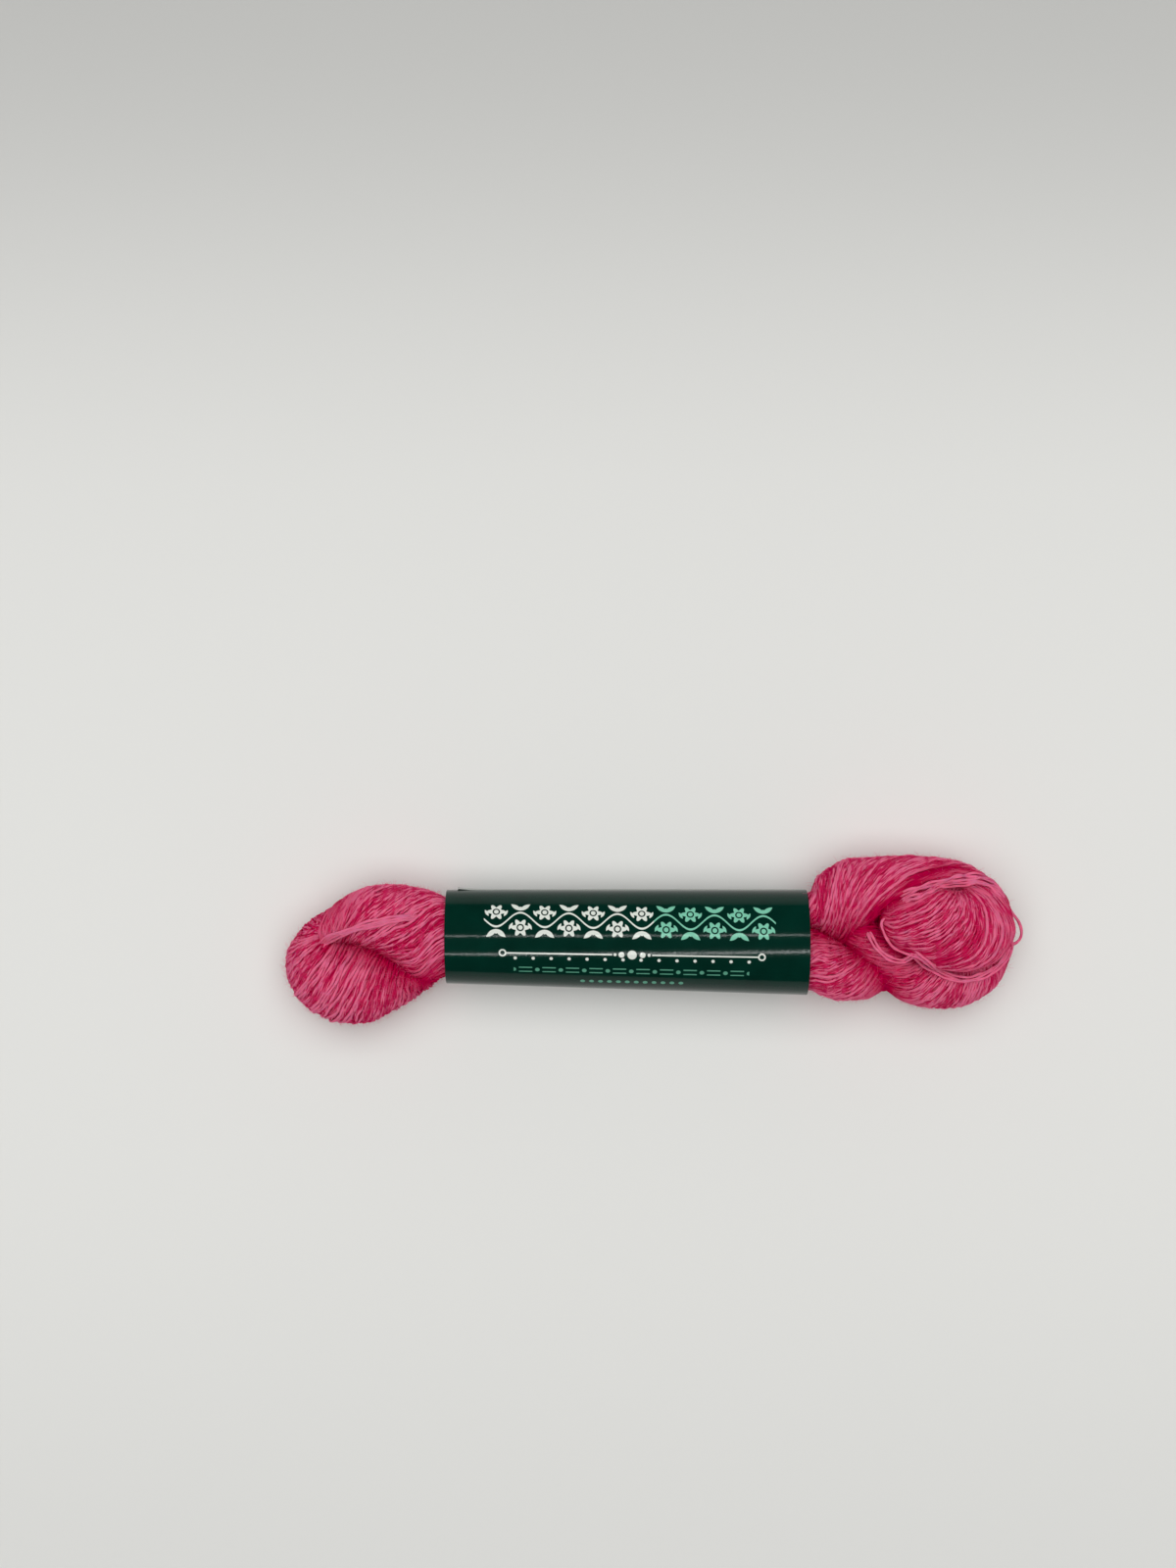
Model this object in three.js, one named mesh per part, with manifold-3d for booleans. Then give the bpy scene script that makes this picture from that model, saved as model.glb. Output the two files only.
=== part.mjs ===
// A small twisted skein of merino thread in a paper band, lying on a table. Millimetres, +Z up.
// The skein lies along X. Its fold is at the low end of X, and its looped end at the high end.
// The origin is on the table, under the middle of the skein.

import * as THREE from 'three';
import { mergeVertices } from 'three/addons/utils/BufferGeometryUtils.js';
import Module from 'manifold-3d';

const wasm = await Module();
wasm.setup();

// The paper band is a slightly conical tube. Its ends are places along X with their middles and half sizes.
const BAND = {
  left: { x: -33.8, y: 0.8, z: 8.3, wide: 7.7, high: 7.7 },
  right: { x: 25.2, y: -0.1, z: 8.9, wide: 8.65, high: 8.3 },
  wall: 1.0,
  lapRise: 0.35, // the glued lap stands this proud
  lapFrom: -62, // degrees up from the +Y side, where the lap's hidden edge lies
  lapTo: -6, // and where its free edge lies
  around: 72,
};

const GAP = 0.3; // clearance between the band and the thread
const CORE_INSET = 3; // the packed core of thread ends this far inside the band's mouths
// The raised ridges show the winding, at ridgeLean of its slope.
const LOBE = { around: 25, along: 34, ridges: 5, ridgeDepth: 0.045, ridgeLean: 0.5, endBunching: 0.5 };
const FLOOR_SLAB = { x: 160, y: 60, z: 20 };
const TO_MIDDLE = { x: 0.47, y: -0.09 }; // puts the origin under the middle of the whole

// Each lobe is a bundle of thread. A row is one section of it: its left and right edge as seen on the way
// along the bundle (leftX, leftY, rightX, rightY), the height of its middle (z), its half height (high) and
// how far the winding has turned there in degrees (turn). cap is the length of the rounded ends.
const LOBES = {
  upperFold: {
    cap: 5.0,
    rows: [
      { leftX: -26.0, leftY: -4.6, rightX: -26.0, rightY: 5.4, z: 8.8, high: 4.6, turn: 60 },
      { leftX: -33.6, leftY: -5.5, rightX: -33.6, rightY: 7.2, z: 8.9, high: 6.0, turn: 0 },
      { leftX: -38.0, leftY: -6.6, rightX: -37.6, rightY: 8.8, z: 9.1, high: 6.5, turn: -52 },
      { leftX: -42.2, leftY: -3.5, rightX: -41.8, rightY: 9.3, z: 9.3, high: 6.9, turn: -106 },
      { leftX: -46.2, leftY: -1.4, rightX: -45.8, rightY: 9.2, z: 9.1, high: 7.0, turn: -166 },
      { leftX: -49.6, leftY: -0.7, rightX: -49.8, rightY: 7.8, z: 8.5, high: 6.7, turn: -240 },
      { leftX: -51.8, leftY: -0.6, rightX: -53.0, rightY: 5.4, z: 7.7, high: 6.2, turn: -320 },
      { leftX: -53.4, leftY: -1.6, rightX: -56.4, rightY: 2.6, z: 6.8, high: 5.4, turn: -400 },
      { leftX: -54.4, leftY: -3.8, rightX: -57.8, rightY: -1.0, z: 6.2, high: 4.8, turn: -460 },
    ],
  },
  lowerFold: {
    cap: 5.0,
    rows: [
      { leftX: -28.0, leftY: -4.0, rightX: -28.0, rightY: 1.4, z: 6.6, high: 3.8, turn: 90 },
      { leftX: -33.8, leftY: -5.6, rightX: -33.8, rightY: 0.2, z: 6.2, high: 4.4, turn: 50 },
      { leftX: -36.4, leftY: -7.4, rightX: -37.0, rightY: -2.6, z: 6.0, high: 4.9, turn: 20 },
      { leftX: -38.8, leftY: -9.2, rightX: -39.4, rightY: -2.9, z: 6.2, high: 5.6, turn: -10 },
      { leftX: -42.2, leftY: -11.3, rightX: -42.0, rightY: -1.4, z: 6.4, high: 6.2, turn: -60 },
      { leftX: -47.0, leftY: -13.6, rightX: -44.3, rightY: 0.2, z: 6.7, high: 6.9, turn: -128 },
      { leftX: -52.0, leftY: -13.3, rightX: -47.6, rightY: 0.9, z: 6.9, high: 7.2, turn: -200 },
      { leftX: -56.6, leftY: -11.3, rightX: -50.6, rightY: 1.3, z: 6.9, high: 7.2, turn: -270 },
      { leftX: -59.7, leftY: -7.3, rightX: -52.0, rightY: 1.4, z: 6.8, high: 7.0, turn: -340 },
      { leftX: -60.4, leftY: -2.6, rightX: -52.4, rightY: 1.5, z: 6.7, high: 6.7, turn: -400 },
      { leftX: -58.4, leftY: 1.5, rightX: -52.3, rightY: 1.6, z: 6.5, high: 6.2, turn: -460 },
      { leftX: -55.2, leftY: 4.4, rightX: -51.8, rightY: 1.7, z: 6.2, high: 5.8, turn: -520 },
      { leftX: -50.4, leftY: 6.2, rightX: -49.8, rightY: 1.6, z: 6.0, high: 5.2, turn: -570 },
      { leftX: -45.4, leftY: 6.4, rightX: -45.4, rightY: 1.8, z: 6.2, high: 4.8, turn: -620 },
    ],
  },
  underPly: {
    cap: 5.0,
    rows: [
      { leftX: 17.0, leftY: 3.6, rightX: 17.0, rightY: -6.2, z: 8.8, high: 4.6, turn: 30 },
      { leftX: 25.0, leftY: 3.4, rightX: 25.0, rightY: -7.6, z: 8.7, high: 6.1, turn: 0 },
      { leftX: 29.2, leftY: 1.6, rightX: 28.6, rightY: -9.1, z: 8.2, high: 6.6, turn: -14 },
      { leftX: 33.2, leftY: -0.6, rightX: 32.2, rightY: -9.8, z: 7.2, high: 6.6, turn: -30 },
      { leftX: 37.0, leftY: -0.2, rightX: 36.4, rightY: -9.2, z: 6.0, high: 6.0, turn: -50 },
      { leftX: 41.0, leftY: 2.6, rightX: 41.4, rightY: -6.6, z: 5.3, high: 5.5, turn: -80 },
      { leftX: 46.0, leftY: 5.6, rightX: 47.0, rightY: -4.4, z: 5.2, high: 5.4, turn: -120 },
      { leftX: 52.0, leftY: 5.0, rightX: 53.0, rightY: -4.0, z: 5.2, high: 5.2, turn: -160 },
    ],
  },
  ringTop: {
    cap: 5.0,
    rows: [
      { leftX: 17.0, leftY: 6.2, rightX: 17.0, rightY: -1.4, z: 8.8, high: 4.6, turn: 210 },
      { leftX: 25.2, leftY: 7.6, rightX: 25.2, rightY: 1.8, z: 8.9, high: 5.8, turn: 130 },
      { leftX: 27.4, leftY: 10.9, rightX: 28.0, rightY: 0.8, z: 9.0, high: 6.6, turn: 78 },
      { leftX: 31.2, leftY: 13.4, rightX: 31.2, rightY: -0.2, z: 8.9, high: 7.0, turn: 20 },
      { leftX: 36.4, leftY: 13.9, rightX: 35.0, rightY: 1.8, z: 8.5, high: 7.1, turn: -22 },
      { leftX: 42.2, leftY: 14.1, rightX: 39.4, rightY: 3.6, z: 7.6, high: 6.9, turn: -56 },
      { leftX: 48.0, leftY: 13.6, rightX: 45.2, rightY: 4.0, z: 6.8, high: 6.7, turn: -88 },
      { leftX: 53.0, leftY: 12.2, rightX: 50.4, rightY: 3.4, z: 6.4, high: 6.5, turn: -122 },
      { leftX: 57.3, leftY: 8.8, rightX: 53.2, rightY: 2.0, z: 6.1, high: 6.3, turn: -162 },
      { leftX: 59.3, leftY: 4.4, rightX: 54.0, rightY: 0.4, z: 6.0, high: 6.1, turn: -204 },
      { leftX: 59.0, leftY: -1.6, rightX: 53.6, rightY: -1.4, z: 5.8, high: 5.9, turn: -246 },
    ],
  },
  ringLow: {
    cap: 4.5,
    rows: [
      { leftX: 29.4, leftY: 6.4, rightX: 28.6, rightY: 1.8, z: 7.4, high: 4.0, turn: 20 },
      { leftX: 33.4, leftY: 5.0, rightX: 31.6, rightY: -0.8, z: 8.2, high: 5.2, turn: 0 },
      { leftX: 37.4, leftY: 3.4, rightX: 34.4, rightY: -4.0, z: 8.0, high: 5.9, turn: -22 },
      { leftX: 41.0, leftY: 1.2, rightX: 38.0, rightY: -7.6, z: 7.3, high: 6.2, turn: -46 },
      { leftX: 44.4, leftY: -0.4, rightX: 42.6, rightY: -10.4, z: 6.5, high: 6.4, turn: -74 },
      { leftX: 48.2, leftY: -1.0, rightX: 47.4, rightY: -11.2, z: 6.2, high: 6.5, turn: -120 },
      { leftX: 51.6, leftY: -0.8, rightX: 52.2, rightY: -10.5, z: 6.1, high: 6.4, turn: -200 },
      { leftX: 54.0, leftY: 0.2, rightX: 56.4, rightY: -7.9, z: 6.0, high: 6.3, turn: -280 },
      { leftX: 54.8, leftY: 1.8, rightX: 58.8, rightY: -3.4, z: 5.9, high: 6.1, turn: -350 },
      { leftX: 54.6, leftY: 3.6, rightX: 59.4, rightY: 1.6, z: 5.8, high: 6.0, turn: -420 },
      { leftX: 53.6, leftY: 5.4, rightX: 57.2, rightY: 6.8, z: 5.7, high: 5.6, turn: -480 },
    ],
  },
  knob: {
    cap: 1.6,
    rows: [
      { leftX: 36.8, leftY: 6.0, rightX: 36.6, rightY: 4.4, z: 10.8, high: 2.8, turn: 0 },
      { leftX: 38.0, leftY: 6.8, rightX: 37.2, rightY: 1.5, z: 12.2, high: 3.7, turn: -8 },
      { leftX: 40.3, leftY: 7.7, rightX: 39.5, rightY: -0.9, z: 13.1, high: 4.5, turn: -18 },
      { leftX: 43.4, leftY: 8.6, rightX: 43.4, rightY: -3.0, z: 13.7, high: 5.1, turn: -30 },
      { leftX: 47.0, leftY: 9.1, rightX: 47.8, rightY: -4.3, z: 14.0, high: 5.5, turn: -45 },
      { leftX: 50.0, leftY: 9.2, rightX: 52.4, rightY: -4.1, z: 13.9, high: 5.4, turn: -62 },
      { leftX: 51.6, leftY: 9.1, rightX: 56.2, rightY: -2.3, z: 13.5, high: 5.1, turn: -80 },
      { leftX: 52.3, leftY: 9.2, rightX: 58.6, rightY: 1.2, z: 13.0, high: 4.6, turn: -98 },
      { leftX: 52.5, leftY: 9.5, rightX: 58.3, rightY: 5.2, z: 12.6, high: 4.0, turn: -116 },
      { leftX: 52.2, leftY: 9.8, rightX: 56.4, rightY: 8.6, z: 12.3, high: 3.2, turn: -134 },
      { leftX: 51.4, leftY: 10.0, rightX: 53.6, rightY: 11.2, z: 12.3, high: 2.6, turn: -150 },
      { leftX: 49.4, leftY: 10.1, rightX: 49.8, rightY: 12.1, z: 12.3, high: 2.2, turn: -166 },
      { leftX: 46.4, leftY: 9.7, rightX: 45.8, rightY: 11.7, z: 12.4, high: 2.0, turn: -184 },
      { leftX: 43.0, leftY: 8.9, rightX: 42.2, rightY: 10.6, z: 12.6, high: 1.8, turn: -202 },
      { leftX: 39.8, leftY: 7.6, rightX: 39.0, rightY: 9.0, z: 12.6, high: 1.5, turn: -220 },
    ],
  },
};

// Manifold-3d joins and cuts solids. These two carry a closed three.js geometry there and back.
function toSolid(geometry) {
  const bare = geometry.clone();
  bare.deleteAttribute('normal');
  bare.deleteAttribute('uv');
  const merged = mergeVertices(bare, 1e-4);
  const mesh = new wasm.Mesh({
    numProp: 3,
    vertProperties: Float32Array.from(merged.attributes.position.array),
    triVerts: Uint32Array.from(merged.index.array),
  });
  return new wasm.Manifold(mesh);
}

function toGeometry(solid) {
  const mesh = solid.getMesh();
  const geometry = new THREE.BufferGeometry();
  geometry.setAttribute('position', new THREE.BufferAttribute(Float32Array.from(mesh.vertProperties), 3));
  geometry.setIndex(new THREE.BufferAttribute(Uint32Array.from(mesh.triVerts), 1));
  geometry.computeVertexNormals();
  return geometry;
}

// A smooth curve through three of the numbers of each row.
function through(rows, pick) {
  const points = rows.map((row) => new THREE.Vector3(...pick(row)));
  return new THREE.CatmullRomCurve3(points, false, 'catmullrom', 0.5);
}

// A bundle of thread: a sphere's points are carried onto the sections, and its poles become the rounded ends.
function lobeGeometry({ rows, cap }) {
  const middle = through(rows, (r) => [(r.leftX + r.rightX) / 2, (r.leftY + r.rightY) / 2, r.z]);
  const side = through(rows, (r) => [(r.leftX - r.rightX) / 2, (r.leftY - r.rightY) / 2, 0]);
  const size = through(rows, (r) => [r.high, r.turn, 0]);
  const length = middle.getLength();
  const geometry = new THREE.SphereGeometry(1, LOBE.around, LOBE.along);
  const { position: points, uv } = geometry.attributes;
  for (let i = 0; i < points.count; i++) {
    const even = 1 - uv.getY(i);
    const bunched = 0.5 - 0.5 * Math.cos(even * Math.PI);
    const share = THREE.MathUtils.lerp(even, bunched, LOBE.endBunching);
    const t = middle.getUtoTmapping(share);
    const toEnd = Math.min(share, 1 - share) * length;
    const round = toEnd < cap ? Math.sqrt(Math.max(0, 1 - (1 - toEnd / cap) ** 2)) : 1;
    const { x: high, y: turn } = size.getPoint(t);
    const angle = Math.PI * (1 - 2 * (uv.getX(i) % 1));
    const phase = LOBE.ridges * (angle - THREE.MathUtils.degToRad(turn * LOBE.ridgeLean));
    const swell = round * (1 + LOBE.ridgeDepth * round * Math.cos(phase));
    const place = middle.getPoint(t).addScaledVector(side.getPoint(t), Math.cos(angle) * swell);
    place.z += Math.sin(angle) * high * swell;
    points.setXYZ(i, place.x, place.y, place.z);
  }
  return geometry;
}

// A box between two places along X, wide and high enough to reach past the skein.
function slab(fromX, toX) {
  return new THREE.BoxGeometry(toX - fromX, FLOOR_SLAB.y, FLOOR_SLAB.y).translate((fromX + toX) / 2, 0, 0);
}

// The band's middle and half sizes at a place along X.
function bandAt(x) {
  const { left, right } = BAND;
  const share = (x - left.x) / (right.x - left.x);
  const between = (key) => THREE.MathUtils.lerp(left[key], right[key], share);
  return { y: between('y'), z: between('z'), wide: between('wide'), high: between('high') };
}

// The lap rises smoothly from its hidden edge and stops short at its free edge.
function lapRise(angle) {
  const degrees = THREE.MathUtils.radToDeg(angle);
  const share = (degrees - BAND.lapFrom) / (BAND.lapTo - BAND.lapFrom);
  return share > 0 && share < 1 ? BAND.lapRise * Math.min(1, share * 3) : 0;
}

// A rod that follows the band between two places along X, its surface grown by growth(angle).
function bandRod(fromX, toX, around, growth) {
  const rod = new THREE.CylinderGeometry(1, 1, toX - fromX, around, 1);
  rod.rotateZ(-Math.PI / 2).translate((fromX + toX) / 2, 0, 0);
  const points = rod.attributes.position;
  for (let i = 0; i < points.count; i++) {
    const [x, across, upward] = [points.getX(i), points.getY(i), points.getZ(i)];
    const band = bandAt(x);
    const grown = growth(Math.atan2(upward, across));
    points.setXYZ(i, x, band.y + across * (band.wide + grown), band.z + upward * (band.high + grown));
  }
  return rod;
}

function bandGeometry() {
  const { left, right, wall, around } = BAND;
  const outside = toSolid(bandRod(left.x, right.x, around, lapRise));
  const inside = toSolid(bandRod(left.x - 1, right.x + 1, around, () => -wall));
  return toGeometry(outside.subtract(inside));
}

// The packed thread that the band holds together.
function coreGeometry() {
  const { left, right, wall } = BAND;
  return bandRod(left.x + CORE_INSET, right.x - CORE_INSET, 40, () => -wall - GAP);
}

function skeinGeometry() {
  const { left, right, wall } = BAND;
  const lobes = Object.values(LOBES).map((lobe) => toSolid(lobeGeometry(lobe)));
  const wound = lobes.reduce((whole, lobe) => whole.add(lobe));
  const bore = toSolid(bandRod(left.x - 1, right.x + 1, 40, () => -wall - GAP));
  const bandZone = toSolid(slab(left.x - GAP, right.x + GAP)).subtract(bore);
  const floor = toSolid(
    new THREE.BoxGeometry(FLOOR_SLAB.x, FLOOR_SLAB.y, FLOOR_SLAB.z).translate(0, 0, -FLOOR_SLAB.z / 2));
  const whole = wound.subtract(bandZone).add(toSolid(coreGeometry())).subtract(floor);
  // Where the lobes close off a pocket, its wall comes out as a piece of its own, so the largest one is kept.
  const [skin] = whole.simplify(0.02).decompose().sort((a, b) => b.volume() - a.volume());
  return toGeometry(skin);
}

const wool = new THREE.MeshStandardMaterial({ color: 0xcf5480, roughness: 0.85, metalness: 0 });
const paper = new THREE.MeshStandardMaterial({ color: 0x06382d, roughness: 0.3, metalness: 0 });

const skein = new THREE.Mesh(skeinGeometry().translate(TO_MIDDLE.x, TO_MIDDLE.y, 0), wool);
skein.name = 'skein';

const band = new THREE.Mesh(bandGeometry().translate(TO_MIDDLE.x, TO_MIDDLE.y, 0), paper);
band.name = 'band';

const whole = new THREE.Group();
whole.add(skein, band);

export default whole;
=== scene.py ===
import bpy
import numpy as np
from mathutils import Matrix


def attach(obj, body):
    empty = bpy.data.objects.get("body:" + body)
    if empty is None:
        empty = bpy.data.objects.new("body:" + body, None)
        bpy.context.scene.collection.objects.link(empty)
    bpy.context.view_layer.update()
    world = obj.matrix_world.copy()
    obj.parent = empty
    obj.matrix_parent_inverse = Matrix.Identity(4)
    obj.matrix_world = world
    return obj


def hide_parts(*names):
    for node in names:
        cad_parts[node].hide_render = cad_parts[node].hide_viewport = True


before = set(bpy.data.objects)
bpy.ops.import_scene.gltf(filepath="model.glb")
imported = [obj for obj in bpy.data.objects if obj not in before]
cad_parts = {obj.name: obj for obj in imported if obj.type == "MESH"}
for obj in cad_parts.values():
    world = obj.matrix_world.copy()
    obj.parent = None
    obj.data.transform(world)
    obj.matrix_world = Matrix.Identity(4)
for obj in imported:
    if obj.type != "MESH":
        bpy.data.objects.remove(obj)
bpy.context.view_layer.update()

mm = 0.001
toMiddle = np.array([0.47, -0.09, 0.0])  # from the zero of the tables below to the part's origin, in mm
random = np.random.default_rng(7)
fullTurn = 2 * np.pi
tiny = 1e-9

# The camera looks straight down on the table, as in the photograph.
cameraSetup = {"place": (-10.13, 25.81, 396.0), "lens": 54.09, "sensor": 36.0, "sees": (0.01, 10.0)}


def addCamera(setup):
    data = bpy.data.cameras.new("camera")
    data.lens = setup["lens"]
    data.sensor_width = setup["sensor"]
    data.clip_start, data.clip_end = setup["sees"]
    camera = bpy.data.objects.new("camera", data)
    camera.location = [mm * value for value in setup["place"]]
    bpy.context.scene.collection.objects.link(camera)
    bpy.context.scene.camera = camera


addCamera(cameraSetup)
print("camera: done")


# Mesh helpers

# A mesh from points in mm, arrays of faces with the same number of corners each, and values for its points.
def makePiece(name, points, faceSets, cornerUv=None, values=None):
    data = bpy.data.meshes.new(name)
    data.vertices.add(len(points))
    data.vertices.foreach_set("co", ((points + toMiddle) * mm).astype(np.float32).ravel())
    corners = np.concatenate([faces.ravel() for faces in faceSets])
    sizes = np.concatenate([np.full(len(faces), faces.shape[1]) for faces in faceSets])
    data.loops.add(len(corners))
    data.loops.foreach_set("vertex_index", corners.astype(np.int32))
    data.polygons.add(len(sizes))
    data.polygons.foreach_set("loop_start", (np.cumsum(sizes) - sizes).astype(np.int32))
    data.polygons.foreach_set("use_smooth", np.ones(len(sizes), bool))
    if cornerUv is not None:
        data.uv_layers.new(name="UVMap").data.foreach_set("uv", cornerUv.astype(np.float32).ravel())
    for key, value in (values or {}).items():
        data.attributes.new(key, "FLOAT", "POINT").data.foreach_set("value", value.astype(np.float32).ravel())
    data.update(calc_edges=True)
    piece = bpy.data.objects.new(name, data)
    bpy.context.scene.collection.objects.link(piece)
    return piece


# A Catmull-Rom curve through the rows, read at places counted in rows.
def through(rows, places):
    ends = np.vstack([2 * rows[0] - rows[1], rows, 2 * rows[-1] - rows[-2]])
    first = np.clip(places.astype(int), 0, len(rows) - 2)
    t = (places - first)[:, None]
    a, b, c, d = (ends[first + k] for k in range(4))
    slopeB, slopeC = (c - a) / 2, (d - b) / 2
    return (b * (2 * t**3 - 3 * t**2 + 1) + slopeB * (t**3 - 2 * t**2 + t)
            + c * (3 * t**2 - 2 * t**3) + slopeC * (t**3 - t**2))


def unit(vectors):
    return vectors / np.maximum(np.linalg.norm(vectors, axis=-1, keepdims=True), tiny)


# Quads between the rings of a surface that is closed round: from each ring to the next, and from k to k + 1.
def ringQuads(here, ahead, sides):
    k = np.arange(sides)
    after = (k + 1) % sides
    return np.stack([here + k, here + after, ahead + after, ahead + k], -1).reshape(-1, 4)


# Tubes along a lattice of lines (line, step, xyz). Each ring is an ellipse: line + radius * (flatness * cos(angle) *
# normal + sin(angle) * across). Only stretches marked as shown are built, and each is closed at both ends.
def tubes(lines, outward, radius, shown, sides, flatness, along, values):
    direction = unit(np.gradient(lines, axis=1))
    normal = unit(outward - (outward * direction).sum(-1, keepdims=True) * direction)
    across = np.cross(direction, normal)
    angle = np.arange(sides) / sides * fullTurn
    rings = (lines[:, :, None, :]
             + radius[:, :, None, None] * (flatness * np.cos(angle)[:, None] * normal[:, :, None, :]
                                           + np.sin(angle)[:, None] * across[:, :, None, :]))
    spans = shown[:, :-1] & shown[:, 1:]
    used = np.zeros(shown.shape, bool)
    used[:, :-1] |= spans
    used[:, 1:] |= spans
    number = np.cumsum(used.ravel()).reshape(used.shape) - 1
    points = rings[used].reshape(-1, 3)
    lineAt, stepAt = np.nonzero(spans)
    here, ahead = number[lineAt, stepAt], number[lineAt, stepAt + 1]
    k = np.arange(sides)
    quads = ringQuads(here[:, None] * sides, ahead[:, None] * sides, sides)
    before = np.zeros_like(used)
    before[:, 1:] = spans
    behind = np.zeros_like(used)
    behind[:, :-1] = spans
    starts, ends = number[used & ~before], number[used & ~behind]
    startCaps = starts[:, None] * sides + k[::-1]
    endCaps = ends[:, None] * sides + k
    v0, v1 = along[lineAt, stepAt], along[lineAt, stepAt + 1]
    u0 = np.broadcast_to(k / sides, (len(v0), sides))
    u1 = u0 + 1 / sides
    v0, v1 = (np.broadcast_to(v[:, None], u0.shape) for v in (v0, v1))
    quadUv = np.stack([u0, v0, u1, v0, u1, v1, u0, v1], -1).reshape(-1, 2)
    capUv = np.zeros(((len(starts) + len(ends)) * sides, 2))
    valuesAt = {key: np.repeat(value[used], sides) for key, value in values.items()}
    return points, [quads, startCaps, endCaps], np.vstack([quadUv, capUv]), valuesAt


# The lobes of the skein

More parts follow.
